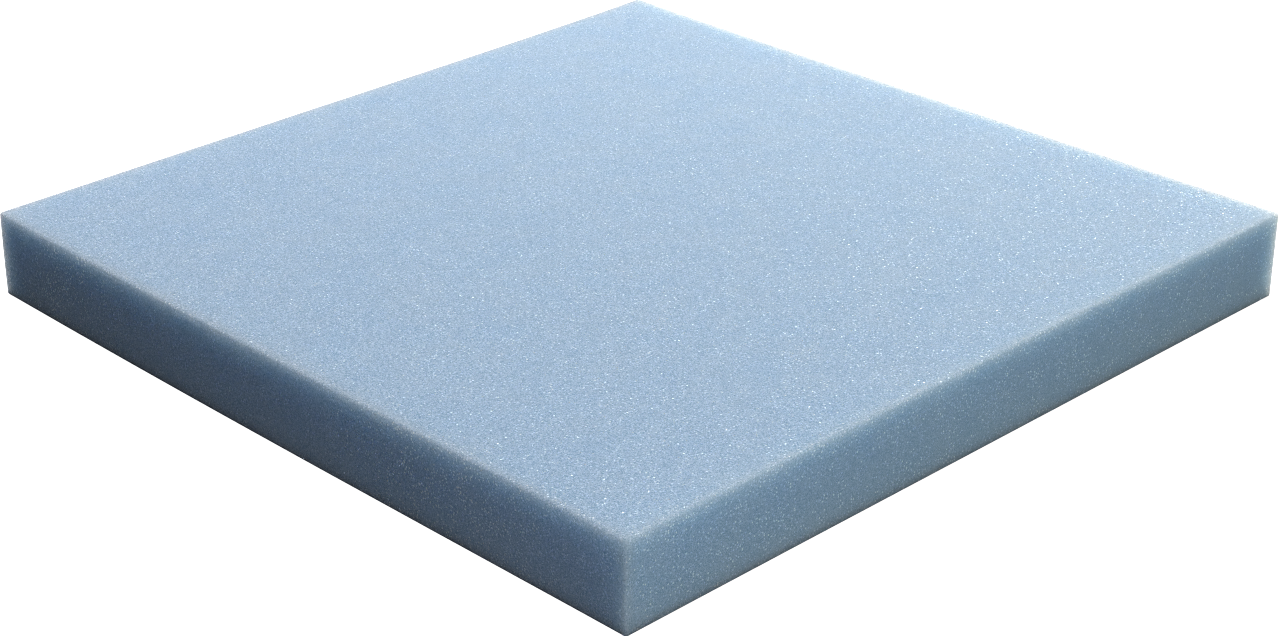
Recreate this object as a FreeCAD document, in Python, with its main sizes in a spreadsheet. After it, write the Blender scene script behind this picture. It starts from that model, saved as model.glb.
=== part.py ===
"""Filter foam slab: one square-cut block of open-cell foam that water is drawn through.

Frame: millimetres, +Z up.  The origin is the middle of the face that the slab rests on.
The sides lie across X and Y, and the thickness is along Z.
"""

import FreeCAD, Part  # FreeCAD has to come before Part
import os

import Sketcher
from FreeCAD import Vector

# Driving dimensions in millimetres: (alias, value, what it is).
DIMENSIONS = [
    ("slab_length", 500.0, "side of the slab along X"),
    ("slab_width", 500.0, "side of the slab along Y"),
    ("slab_thickness", 50.0, "height of the slab along Z"),
    ("corner_radius", 2.0, "soft rounding of the four upright edges, seen in plan"),
    ("rim_radius", 1.6, "soft rounding of the edges around the upper face"),
    ("foot_radius", 1.2, "rounding of the edges around the resting face, pressed sharper"),
]
ON_PLANE = 1e-6  # heights this close are the same, so an edge between them lies in a large face
BUILD_TOLERANCE = 0.01  # how far the finished solid may be from the sheet's sizes
CUBIC_MM_PER_LITRE = 1e6
DRAWN_HALF_SIDE = 1.0  # the outline is drawn this small, and the sheet's sizes then stretch it


def make_sheet(doc):
    """The spreadsheet that every size in the model is bound to."""
    sheet = doc.addObject("Spreadsheet::Sheet", "Dimensions")
    for row, (alias, value, meaning) in enumerate(DIMENSIONS, start=1):
        sheet.set(f"A{row}", meaning)
        sheet.set(f"B{row}", str(value))
        sheet.setAlias(f"B{row}", alias)
    doc.recompute()
    return sheet


def origin_plane(body, role):
    """One of the body's own origin planes, such as XY_Plane."""
    return next(feature for feature in body.Origin.OriginFeatures if feature.Role == role)


def add_outline(body):
    """The plan of the slab: a rectangle centred on the origin, lying on the resting face."""
    sketch = body.newObject("Sketcher::SketchObject", "SlabOutline")
    sketch.AttachmentSupport = [(origin_plane(body, "XY_Plane"), "")]
    sketch.MapMode = "FlatFace"

    turns = [(-1, -1), (1, -1), (1, 1), (-1, 1)]
    corners = [Vector(x, y, 0) * DRAWN_HALF_SIDE for x, y in turns]
    front, right, back, left = (
        sketch.addGeometry(Part.LineSegment(corners[i], corners[(i + 1) % 4]), False)
        for i in range(4)
    )
    start, end = 1, 2
    for side, following in ((front, right), (right, back), (back, left), (left, front)):
        sketch.addConstraint(Sketcher.Constraint("Coincident", side, end, following, start))
    for side in (front, back):
        sketch.addConstraint(Sketcher.Constraint("Horizontal", side))
    for side in (right, left):
        sketch.addConstraint(Sketcher.Constraint("Vertical", side))
    # Opposite corners are mirror images in the sketch's root point, which centres the outline.
    root_point = (-1, 1)
    sketch.addConstraint(
        Sketcher.Constraint("Symmetric", front, start, right, end, *root_point)
    )

    sized_sides = ((front, "DistanceX", "slab_length"), (right, "DistanceY", "slab_width"))
    for side, kind, size in sized_sides:
        distance = Sketcher.Constraint(kind, side, start, side, end, 2 * DRAWN_HALF_SIDE)
        index = sketch.addConstraint(distance)
        sketch.renameConstraint(index, size)
        sketch.setExpression(f"Constraints.{size}", f"Dimensions.{size}")
    return sketch


def add_pad(body, outline):
    """The block itself, padded upwards from its outline."""
    pad = body.newObject("PartDesign::Pad", "SlabBlock")
    pad.Profile = outline
    pad.setExpression("Length", "Dimensions.slab_thickness")
    return pad


def edge_names(shape, wanted):
    """Names of the shape's edges for which wanted(edge) is true."""
    return [f"Edge{i}" for i, edge in enumerate(shape.Edges, start=1) if wanted(edge)]


def is_upright(edge):
    """True for an edge that joins the two large faces."""
    heights = [vertex.Z for vertex in edge.Vertexes]
    return max(heights) - min(heights) > ON_PLANE


def is_around_upper_face(edge):
    """True for an edge that goes round the upper face of the block."""
    return not is_upright(edge) and not is_around_resting_face(edge)


def is_around_resting_face(edge):
    """True for an edge that goes round the face the slab rests on."""
    return max(vertex.Z for vertex in edge.Vertexes) < ON_PLANE


def add_fillet(body, name, base, wanted, radius):
    """Round the edges of base that wanted picks out, to a radius from the sheet."""
    fillet = body.newObject("PartDesign::Fillet", name)
    fillet.Base = (base, edge_names(base.Shape, wanted))
    fillet.setExpression("Radius", f"Dimensions.{radius}")
    body.Document.recompute()
    return fillet


def make_filter_foam_slab(doc):
    """The whole object: one solid foam block with softly rounded edges."""
    body = doc.addObject("PartDesign::Body", "FilterFoamSlab")
    body.Label = "filter_foam_slab"
    block = add_pad(body, add_outline(body))
    doc.recompute()
    upright = add_fillet(body, "UprightEdges", block, is_upright, "corner_radius")
    rim = add_fillet(body, "RimEdges", upright, is_around_upper_face, "rim_radius")
    body.Tip = add_fillet(body, "FootEdges", rim, is_around_resting_face, "foot_radius")
    body.Placement = FreeCAD.Placement(Vector(0, 0, 0), FreeCAD.Rotation())
    doc.recompute()
    return body


def check_document(doc):
    """Stop if any object of the document failed to recompute."""
    for item in doc.Objects:
        if "Invalid" in item.State or "Error" in item.State:
            raise RuntimeError(f"{item.Label} did not recompute: {item.State}")


def check_slab(sheet, slab):
    """Stop unless the slab is one valid solid of the sheet's size."""
    shape = slab.Shape
    if shape.isNull() or not shape.isValid() or len(shape.Solids) != 1:
        raise RuntimeError(f"{slab.Label} is not one valid solid")
    box = shape.BoundBox
    sizes = (box.XLength, box.YLength, box.ZLength)
    wanted = (sheet.slab_length, sheet.slab_width, sheet.slab_thickness)
    if any(abs(size - goal) > BUILD_TOLERANCE for size, goal in zip(sizes, wanted)):
        raise RuntimeError(f"{slab.Label} measures {sizes}, not {wanted}")
    if abs(box.ZMin) > BUILD_TOLERANCE:
        raise RuntimeError(f"{slab.Label} does not rest on the plane of the origin")


def export(sub_part):
    """Write a sub-part's solid to the file that its label names."""
    os.makedirs("parts", exist_ok=True)
    sub_part.Shape.exportStep(f"parts/{sub_part.Label}.step")
    litres = sub_part.Shape.Volume / CUBIC_MM_PER_LITRE
    print(f"{sub_part.Label}: {litres:.3f} litres")


def main():
    doc = FreeCAD.newDocument("FilterFoam")
    sheet = make_sheet(doc)
    slab = make_filter_foam_slab(doc)
    check_document(doc)
    check_slab(sheet, slab)
    export(slab)


main()
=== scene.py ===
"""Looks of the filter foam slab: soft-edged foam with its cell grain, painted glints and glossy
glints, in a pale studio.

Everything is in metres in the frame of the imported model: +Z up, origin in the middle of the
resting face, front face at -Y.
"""

import math

import bpy
import numpy as np
from mathutils import Matrix, Vector, noise


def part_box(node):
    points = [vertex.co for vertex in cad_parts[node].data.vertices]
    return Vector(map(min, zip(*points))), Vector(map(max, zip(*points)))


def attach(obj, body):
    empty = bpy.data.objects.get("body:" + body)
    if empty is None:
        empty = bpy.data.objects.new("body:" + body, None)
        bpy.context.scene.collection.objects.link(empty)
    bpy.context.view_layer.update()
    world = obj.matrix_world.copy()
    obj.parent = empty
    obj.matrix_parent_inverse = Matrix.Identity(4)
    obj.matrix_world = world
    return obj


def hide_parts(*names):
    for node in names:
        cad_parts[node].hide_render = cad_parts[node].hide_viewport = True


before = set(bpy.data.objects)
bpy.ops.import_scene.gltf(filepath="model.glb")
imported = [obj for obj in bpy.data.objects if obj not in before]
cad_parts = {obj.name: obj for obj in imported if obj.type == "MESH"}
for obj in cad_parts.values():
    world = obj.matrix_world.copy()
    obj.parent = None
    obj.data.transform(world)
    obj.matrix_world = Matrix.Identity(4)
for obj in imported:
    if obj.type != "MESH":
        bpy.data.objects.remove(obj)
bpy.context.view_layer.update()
FOAM_NODE = "filter_foam_slab"
LOW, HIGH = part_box(FOAM_NODE)
SIZE = HIGH - LOW
HALF = SIZE / 2
THICKNESS = SIZE.z
MM = 0.001
TINY = 1e-12  # keeps a division by a length from failing at zero

# ---------------------------------------------------------------- shape of the slab

CORNER_RADIUS = 2.0 * MM  # upright edges, in plan
RIM_RADIUS = 1.4 * MM  # edges round the upper face
FOOT_RADIUS = 1.2 * MM  # edges round the resting face, pressed sharper by the weight
ARC_STEPS = 8  # rows of faces in each half of a rounded edge
FACE_STEP = 2.85 * MM  # spacing of the mesh away from the edges

SIDE_BOW = 1.7 * MM  # the left side, at -X, bellies out by about this much near its middle
BOW_LEAN = 0.4  # the belly is fuller towards the far end by this share
CORNER_FLARE = 0.25 * MM  # every corner springs outwards by this much along both sides
RIGHT_PULL = 0.2 * MM  # and the right corner, at +X -Y, by this much more
LEFT_LEAN = 0.45 * MM  # the top of the left corner, at -X +Y, stays back by this much
CORNER_LIFT = 1.4 * MM  # the far corner, at +X +Y, curls up by this much
BOW_FADE = 3  # powers that set how fast each of these fades away from its own side or corner
FLARE_FADE = 5
CORNER_FADE = 8
RIPPLE = 0.06 * MM  # slow waves left by the saw
RIPPLE_LENGTH = 34 * MM
GRAIN = 0.04 * MM  # cell-sized unevenness that the mesh can hold
GRAIN_LENGTH = 6 * MM


def arc_stops(radius):
    """Distances from a corner at which lines cut its quarter arc into equal parts."""
    return [radius * (1 - math.tan(math.pi / 4 * i / ARC_STEPS)) for i in range(ARC_STEPS, 0, -1)]


def stops(low, high, low_radius, high_radius):
    """Places of the mesh's lines along one axis, closer where an edge rounds."""
    start, end = low + low_radius, high - high_radius
    middle = np.linspace(start, end, round((end - start) / FACE_STEP) + 1)
    before = [low + d for d in arc_stops(low_radius)]
    after = [high - d for d in reversed(arc_stops(high_radius))]
    return np.concatenate([before, middle, after])


def round_off(points):
    """Pulls points of a sharp box onto the box with rounded edges."""
    inner = np.array([HALF.x, HALF.y]) - CORNER_RADIUS
    flat = points[:, :2]
    core = np.clip(flat, -inner, inner)
    away = flat - core
    reach = np.linalg.norm(away, axis=1)
    radius = np.where(points[:, 2] < THICKNESS / 2, FOOT_RADIUS, RIM_RADIUS)
    limit = np.minimum(1.0, (CORNER_RADIUS - radius) / np.maximum(reach, TINY))
    core = core + away * limit[:, None]
    height = np.clip(points[:, 2], FOOT_RADIUS, THICKNESS - RIM_RADIUS)
    centre = np.column_stack([core, height])
    out = points - centre
    return centre + out * (radius / np.linalg.norm(out, axis=1))[:, None]


def lattice_surface(xs, ys, zs):
    """Points and four-sided faces of the outside of a lattice, as one closed surface."""
    count = (len(xs), len(ys), len(zs))
    last = tuple(n - 1 for n in count)
    on_skin = np.zeros(count, bool)
    for axis in range(3):
        ends = [slice(None)] * 3
        ends[axis] = [0, last[axis]]
        on_skin[tuple(ends)] = True
    number = np.full(count, -1)
    number[on_skin] = np.arange(on_skin.sum())
    i, j, k = np.nonzero(on_skin)
    points = np.column_stack([xs[i], ys[j], zs[k]])

    faces = []
    for axis in range(3):
        for end in (0, last[axis]):
            sheet = np.take(number, end, axis=axis)
            quads = [sheet[:-1, :-1], sheet[1:, :-1], sheet[1:, 1:], sheet[:-1, 1:]]
            outward = (end > 0) != (axis == 1)  # the axis order turns the Y faces over
            faces.append(np.stack(quads if outward else quads[::-1], axis=-1).reshape(-1, 4))
    return points, np.concatenate(faces)


def settle(points):
    """The slow unevenness of a cut foam block: a bellied side, flared corners and a curled one."""
    u = points[:, 0] / HALF.x
    v = points[:, 1] / HALF.y
    moved = points.copy()
    near_left = np.clip(-u, 0, 1) ** BOW_FADE
    moved[:, 0] -= SIDE_BOW * near_left * (1 - v**2) * (1 + BOW_LEAN * v)
    flare = CORNER_FLARE * np.abs(u * v) ** FLARE_FADE
    pull = RIGHT_PULL * (1 + u) * (1 - v) / 4
    rise = points[:, 2] / THICKNESS
    left_corner = np.clip((v - u) / 2, 0, 1) ** CORNER_FADE
    lean = LEFT_LEAN * left_corner * rise**2
    moved[:, 0] += flare * np.sign(u) + pull + lean
    moved[:, 1] += flare * np.sign(v) - pull - lean
    far_corner = np.clip((u + v) / 2, 0, 1) ** CORNER_FADE
    moved[:, 2] += CORNER_LIFT * far_corner * rise
    return moved


def roughen(points, normals):
    """Saw ripple and cell unevenness, along the surface's own normals."""
    offsets = np.empty(len(points))
    for index, (x, y, z) in enumerate(points):
        place = Vector((x, y, z))
        offsets[index] = RIPPLE * noise.noise(place / RIPPLE_LENGTH) + GRAIN * noise.noise(
            place / GRAIN_LENGTH
        )
    rest = np.clip(points[:, 2] / RIM_RADIUS, 0, 1)  # the resting face stays flat
    return points + normals * (offsets * rest)[:, None]


def make_slab():
    """The foam block as one closed mesh."""
    xs = stops(-HALF.x, HALF.x, CORNER_RADIUS, CORNER_RADIUS)
    ys = stops(-HALF.y, HALF.y, CORNER_RADIUS, CORNER_RADIUS)
    zs = stops(0, THICKNESS, FOOT_RADIUS, RIM_RADIUS)
    points, faces = lattice_surface(xs, ys, zs)
    points = settle(round_off(points))

    mesh = bpy.data.meshes.new("foam_slab")
    mesh.from_pydata(points.tolist(), [], faces.tolist())
    normals = np.array([tuple(vertex.normal) for vertex in mesh.vertices])
    points = roughen(points, normals)
    mesh.vertices.foreach_set("co", points.ravel())
    mesh.polygons.foreach_set("use_smooth", np.ones(len(faces), bool))
    mesh.update()
    slab = bpy.data.objects.new("foam_slab", mesh)
    bpy.context.collection.objects.link(slab)
    return slab


# ---------------------------------------------------------------- foam material

FOAM_COLOUR = (0.38, 0.54, 0.70)
SCATTER = (34 * MM, 34 * MM, 32 * MM)  # how far red, green and blue light travel inside
CELL = 0.45 * MM  # width of a foam cell
GRAIN_COLOUR = (0.15, 0.15, 0.145)  # a cell is up to this much lighter or darker
CELL_DEPTH = 0.15 * MM
BUMP = 0.6
HAZE_LENGTH = 28 * MM  # slow drift of the colour
HAZE_COLOUR = (0.012, 0.005, -0.006)
RIM_HIGHLIGHT_COLOUR = (0.02, 0.004, -0.016)  # painted highlight along the edges: a little warmer and greyer
RIM_HIGHLIGHT_FULL = 1.5 * MM  # up to here from an edge
RIM_HIGHLIGHT_END = 6 * MM  # and from here on not at all
ROUGH = 0.75

SPECK_SPACING = 1.6 * MM  # broken cell windows: pale specks, whose colour also holds painted glints
SPECK_RADIUS = 0.58 * MM
SPECK_CORE = 0.6  # a speck is at its full strength within this share of its radius
SPECK_AND_GLINT_COLOUR = (0.45, 0.46, 0.60)  # pale specks with painted glints, added to the foam's colour
SPECK_BASE = 0.20  # strength of the commonest specks, before the changes below
SPECK_RARITY = -0.62  # strength grows as this power of a chance, so strong ones are rare
CROWD_LENGTH = 11 * MM  # specks come in loose clusters
CROWD_RANGE = (0.5, 1.6)
SIDE_SPECKS = 1.85  # on the sides a speck and its painted glint are stronger by this factor
SIDE_FAINT = 0.25  # and then weaker by this, so that the faint ones are lost
SIDE_GRAIN = 0.8  # contrast of the sides' cells
COARSE, FINE = 1.16, 0.82  # contrast of cells and specks, from the -X side to the +X side
MIRROR_SHARE = 0.4  # share of the specks that are glossy and tilted
MIRROR_METAL = 0.28
MIRROR_ROUGH = 0.3
MIRROR_TILT = 1.3
MIRROR_EDGE = 0.5  # a glossy speck is already fully glossy this far in from its rim
SIDE_SLOPE, FLAT_SLOPE = 0.3, 0.9  # upward part of the normal on a side, and on a large face
NOISE_LOW, NOISE_HIGH = 0.3, 0.7  # nearly all of a noise texture's values lie between these
NOISE_DETAIL = 2.0


class Nodes:
    """Short calls for building one node tree."""

    def __init__(self, tree):
        self.tree = tree

    def add(self, kind, inputs=(), **settings):
        """A node with its settings, and its inputs linked to sockets or set to values."""
        made = self.tree.nodes.new(kind)
        for name, value in settings.items():
            setattr(made, name, value)
        for name, value in dict(inputs).items():
            if isinstance(value, bpy.types.NodeSocket):
                self.tree.links.new(value, made.inputs[name])
            else:
                made.inputs[name].default_value = value
        return made

    def math(self, operation, *values, clamp=False):
        """A Math node's result."""
        made = self.add("ShaderNodeMath", enumerate(values), operation=operation, use_clamp=clamp)
        return made.outputs[0]

    def between(self, value, low, high, to_low=0.0, to_high=1.0):
        """value taken from low..high to to_low..to_high, and held at the ends."""
        inputs = {"Value": value, "From Min": low, "From Max": high}
        inputs.update({"To Min": to_low, "To Max": to_high})
        return self.add("ShaderNodeMapRange", inputs).outputs["Result"]

    def vector(self, operation, *values):
        """A Vector Math node's vector."""
        made = self.add("ShaderNodeVectorMath", enumerate(values), operation=operation)
        return made.outputs["Vector"]

    def scaled(self, vector, amount):
        """vector times a number."""
        inputs = {0: vector, "Scale": amount}
        return self.add("ShaderNodeVectorMath", inputs, operation="SCALE").outputs["Vector"]

    def drift(self, place, length, to_low, to_high):
        """Soft noise with patches of about this length, from to_low to to_high."""
        inputs = {"Vector": place, "Scale": 1 / length, "Detail": NOISE_DETAIL}
        patches = self.add("ShaderNodeTexNoise", inputs)
        return self.between(patches.outputs["Fac"], NOISE_LOW, NOISE_HIGH, to_low, to_high)


def new_material(name):
    """An empty node material and its node builder."""
    material = bpy.data.materials.new(name)
    material.use_nodes = True
    material.node_tree.nodes.clear()
    return material, Nodes(material.node_tree)


def edge_highlight(nodes, place):
    """Where the painted edge highlight lies: 1 along the slab's twelve edges, fading to 0 a few
    millimetres away from them.
    """
    axes = nodes.add("ShaderNodeSeparateXYZ", {"Vector": place})
    gap_x = nodes.math("SUBTRACT", HALF.x, nodes.math("ABSOLUTE", axes.outputs["X"]))
    gap_y = nodes.math("SUBTRACT", HALF.y, nodes.math("ABSOLUTE", axes.outputs["Y"]))
    level = nodes.math("SUBTRACT", axes.outputs["Z"], HALF.z)
    gap_z = nodes.math("SUBTRACT", HALF.z, nodes.math("ABSOLUTE", level))
    nearer = nodes.math("MINIMUM", gap_x, gap_y)
    farther = nodes.math("MAXIMUM", gap_x, gap_y)
    to_edge = nodes.math("MAXIMUM", nearer, nodes.math("MINIMUM", farther, gap_z))
    return nodes.between(to_edge, RIM_HIGHLIGHT_FULL, RIM_HIGHLIGHT_END, 1.0, 0.0)


def on_sides(nodes):
    """1 on the four sides and 0 on the two large faces."""
    normal = nodes.add("ShaderNodeNewGeometry").outputs["Normal"]
    axes = nodes.add("ShaderNodeSeparateXYZ", {"Vector": normal})
    levelness = nodes.math("ABSOLUTE", axes.outputs["Z"])
    return nodes.between(levelness, SIDE_SLOPE, FLAT_SLOPE, 1.0, 0.0)


def coarseness(nodes, place):
    """How open the cells are, which changes slowly across a foamed block."""
    axes = nodes.add("ShaderNodeSeparateXYZ", {"Vector": place})
    return nodes.between(axes.outputs["X"], -HALF.x, HALF.x, COARSE, FINE)


def speck_pattern(nodes, place, side):
    """The broken windows: how strongly each shows as a pale speck with a painted glint, how far it
    is a mirror, and its own random.
    """
    sites = nodes.add("ShaderNodeTexVoronoi", {"Vector": place, "Scale": 1 / SPECK_SPACING})
    luck = nodes.add("ShaderNodeSeparateColor", {"Color": sites.outputs["Color"]})
    radius = SPECK_RADIUS / SPECK_SPACING
    inside = nodes.between(sites.outputs["Distance"], radius, SPECK_CORE * radius, 0.0, 1.0)
    rare = nodes.math("POWER", luck.outputs["Red"], SPECK_RARITY)
    crowd = nodes.drift(place, CROWD_LENGTH, *CROWD_RANGE)
    base = nodes.between(side, 0.0, 1.0, SPECK_BASE, SPECK_BASE * SIDE_SPECKS)
    base = nodes.math("MULTIPLY", base, coarseness(nodes, place))
    strength = nodes.math("MULTIPLY", nodes.math("MULTIPLY", rare, base), crowd)
    lost = nodes.math("MULTIPLY", side, SIDE_FAINT)
    strength = nodes.math("SUBTRACT", strength, lost, clamp=True)
    shown = nodes.math("MULTIPLY", strength, inside)
    chosen = nodes.math("LESS_THAN", luck.outputs["Green"], MIRROR_SHARE)
    return shown, nodes.math("MULTIPLY", inside, chosen), sites.outputs["Color"]


def foam_material():
    """Fine open-cell foam: cell grain, pale window specks with painted glints, glossy tilted ones
    that glint, and light that soaks in.
    """
    material, nodes = new_material("open_cell_foam")
    place = nodes.add("ShaderNodeTexCoord").outputs["Object"]
    cells = nodes.add("ShaderNodeTexVoronoi", {"Vector": place, "Scale": 1 / CELL})
    chance = nodes.add("ShaderNodeSeparateColor", {"Color": cells.outputs["Color"]})
    side = on_sides(nodes)
    speck, mirror, speck_random = speck_pattern(nodes, place, side)
    shade = nodes.between(chance.outputs["Green"], 0.0, 1.0, -1.0, 1.0)
    contrast = nodes.between(side, 0.0, 1.0, 1.0, SIDE_GRAIN)
    contrast = nodes.math("MULTIPLY", contrast, coarseness(nodes, place))

    layers = (
        (GRAIN_COLOUR, nodes.math("MULTIPLY", shade, contrast)),
        (HAZE_COLOUR, nodes.drift(place, HAZE_LENGTH, -1.0, 1.0)),
        # painted highlight along the edges
        (RIM_HIGHLIGHT_COLOUR, edge_highlight(nodes, place)),
        # pale specks with painted glints
        (SPECK_AND_GLINT_COLOUR, speck),
    )
    colour = FOAM_COLOUR
    for tint, amount in layers:
        colour = nodes.vector("ADD", colour, nodes.scaled(tint, amount))

    pits = nodes.add(
        "ShaderNodeBump",
        {"Strength": BUMP, "Distance": CELL_DEPTH, "Height": cells.outputs["Distance"]},
    )
    lean = nodes.vector("SUBTRACT", speck_random, (0.5, 0.5, 0.5))
    lean = nodes.scaled(lean, nodes.math("MULTIPLY", mirror, MIRROR_TILT))
    normal = nodes.vector("NORMALIZE", nodes.vector("ADD", pits.outputs["Normal"], lean))

    shader = nodes.add(
        "ShaderNodeBsdfPrincipled",
        {
            "Base Color": colour,
            "Roughness": nodes.between(mirror, 0.0, MIRROR_EDGE, ROUGH, MIRROR_ROUGH),
            "Metallic": nodes.math("MULTIPLY", mirror, MIRROR_METAL),
            "Normal": normal,
            "Subsurface Weight": 1.0,
            "Subsurface Radius": SCATTER,
            "Subsurface Scale": 1.0,
            "Specular IOR Level": 0.5,
        },
    )
    nodes.add("ShaderNodeOutputMaterial", {"Surface": shader.outputs[0]})
    return material


# ---------------------------------------------------------------- studio

FLOOR_HALF = 40.0
FLOOR_GREY = 0.5
FLOOR_GLOW = 0.93  # keeps the floor nearly white where no lamp reaches it
MAT_GREY = 0.8
MAT_MARGIN = 4 * MM  # the mat ends this far inside the slab
MAT_DEPTH = 0.5 * MM  # and lies this far below it
WHITE = (1.0, 1.0, 1.0, 1.0)


def grey(level):
    """An opaque grey."""
    return (level, level, level, 1.0)


def floor_material():
    """Pale paper that also glows, so that the floor stays pale everywhere."""
    material, nodes = new_material("studio_floor")
    paper = nodes.add("ShaderNodeBsdfDiffuse", {"Color": grey(FLOOR_GREY)})
    glow = nodes.add("ShaderNodeEmission", {"Color": WHITE, "Strength": FLOOR_GLOW})
    both = nodes.add("ShaderNodeAddShader", {0: paper.outputs[0], 1: glow.outputs[0]})
    nodes.add("ShaderNodeOutputMaterial", {"Surface": both.outputs[0]})
    return material


def mat_material():
    """White paper."""
    material, nodes = new_material("studio_mat")
    paper = nodes.add("ShaderNodeBsdfDiffuse", {"Color": grey(MAT_GREY)})
    nodes.add("ShaderNodeOutputMaterial", {"Surface": paper.outputs[0]})
    return material


def add_sheet(name, half, height, material):
    """A level square sheet of the studio, centred under the slab."""
    corners = [(-half, -half), (half, -half), (half, half), (-half, half)]
    mesh = bpy.data.meshes.new(name)
    mesh.from_pydata([(x, y, height) for x, y in corners], [], [(0, 1, 2, 3)])
    mesh.materials.append(material)
    sheet = bpy.data.objects.new(name, mesh)
    bpy.context.collection.objects.link(sheet)
    return sheet


def make_floor():
    """A plain pale floor just under the slab. It throws no light back on the slab's sides."""
    floor = add_sheet("studio_floor", FLOOR_HALF, LOW.z, floor_material())
    floor.visible_diffuse = False
    floor.visible_glossy = False


def make_mat():
    """White paper under the slab, which throws back the light that soaks down to it."""
    add_sheet("studio_mat", HALF.x - MAT_MARGIN, LOW.z - MAT_DEPTH, mat_material())


def make_world():
    """A plain white background that gives no light."""
    world = bpy.data.worlds.new("studio")
    bpy.context.scene.world = world
    world.use_nodes = True
    world.node_tree.nodes.clear()
    nodes = Nodes(world.node_tree)
    seen = nodes.add("ShaderNodeLightPath").outputs["Is Camera Ray"]
    white = nodes.add("ShaderNodeBackground", {"Color": WHITE, "Strength": seen})
    nodes.add("ShaderNodeOutputWorld", {"Surface": white.outputs[0]})


WARM_LIGHT = (1.035, 1.0, 0.96)
COOL_LIGHT = (0.97, 0.97, 1.055)
TEAL_LIGHT = (0.92, 1.045, 1.025)
BLUE_LIGHT = (0.92, 0.96, 1.10)
CENTRE = Vector((0, 0, 0))
BROAD_BOX = (1.6, 1.6)  # widths and heights of the softboxes
TALL_BOX = (1.2, 0.9)
SMALL_BOX = (0.8, 0.5)
NEAR_BOX = (0.5, 0.4)


def add_softbox(name, place, aim, size, power, colour):
    """A rectangular area light at place that points at aim."""
    light = bpy.data.lights.new(name, "AREA")
    light.shape = "RECTANGLE"
    light.size, light.size_y = size
    light.energy = power
    light.color = colour
    lamp = bpy.data.objects.new(name, light)
    lamp.location = place
    lamp.rotation_euler = (Vector(aim) - Vector(place)).to_track_quat("-Z", "Y").to_euler()
    bpy.context.collection.objects.link(lamp)


def make_lights(right, back):
    """Six softboxes: one above, and five low ones around, some placed from the camera's side."""
    away = Vector((-back.x, -back.y, 0)).normalized()
    side = Vector((right.x, right.y, 0)).normalized()
    back_left = away * 0.9 - side + Vector((0, 0, 0.9))
    near = Vector((0, 0, 0.45)) - away
    add_softbox("over", Vector((0, 0, 1.3)), CENTRE, BROAD_BOX, 5.87, COOL_LIGHT)
    add_softbox("back_left", back_left, CENTRE, TALL_BOX, 13.68, COOL_LIGHT)
    add_softbox("plus_x", Vector((1.2, -0.1, 0.45)), CENTRE, SMALL_BOX, 9.83, WARM_LIGHT)
    add_softbox("back_right", Vector((0.9, 0.6, 0.6)), (0.1, 0.1, 0), SMALL_BOX, 4.09, WARM_LIGHT)
    add_softbox("front_right", Vector((0.1, -1.3, 0.5)), CENTRE, SMALL_BOX, 4.10, TEAL_LIGHT)
    add_softbox("near", near, (-0.2, -0.2, 0), NEAR_BOX, 1.92, BLUE_LIGHT)


# ---------------------------------------------------------------- camera

CAMERA_AZIMUTH = math.radians(-42.82)
CAMERA_ELEVATION = math.radians(25.98)
CAMERA_ROLL = math.radians(-0.84)
CAMERA_PLACE = (-0.0746, -0.0292, 3.0133)  # along right, up and back, in sides of the slab
FOCAL_WIDTHS = 2.102  # focal length in frame widths
SENSOR_WIDTH = 36  # millimetres
SHIFT = (0.0567, 0.002)  # of the frame, in frame widths


def make_camera():
    """A long lens over the near corner. Gives the directions of the camera's right and back."""
    az, el = CAMERA_AZIMUTH, CAMERA_ELEVATION
    back = Vector((math.sin(az) * math.cos(el), -math.cos(az) * math.cos(el), math.sin(el)))
    level = Vector((math.cos(az), math.sin(az), 0))
    upright = back.cross(level)
    cos, sin = math.cos(CAMERA_ROLL), math.sin(CAMERA_ROLL)
    right = cos * level + sin * upright
    up = -sin * level + cos * upright

    data = bpy.data.cameras.new("camera")
    data.sensor_width = SENSOR_WIDTH
    data.lens = data.sensor_width * FOCAL_WIDTHS
    data.shift_x, data.shift_y = SHIFT
    camera = bpy.data.objects.new("camera", data)
    place = [value * SIZE.x for value in CAMERA_PLACE]
    camera.location = right * place[0] + up * place[1] + back * place[2]
    camera.rotation_mode = "QUATERNION"
    camera.rotation_quaternion = Matrix((right, up, back)).transposed().to_quaternion()
    bpy.context.collection.objects.link(camera)
    bpy.context.scene.camera = camera
    return right, back


right, back = make_camera()
slab = make_slab()
slab.data.materials.append(foam_material())
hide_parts(FOAM_NODE)
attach(slab, "root")

make_floor()
make_mat()
make_world()
make_lights(right, back)

bpy.context.scene.view_settings.view_transform = "Standard"
bpy.context.scene.cycles.denoising_prefilter = "NONE"  # keeps the cell grain crisp
bpy.context.scene.cycles.filter_width = 1.0  # in pixels
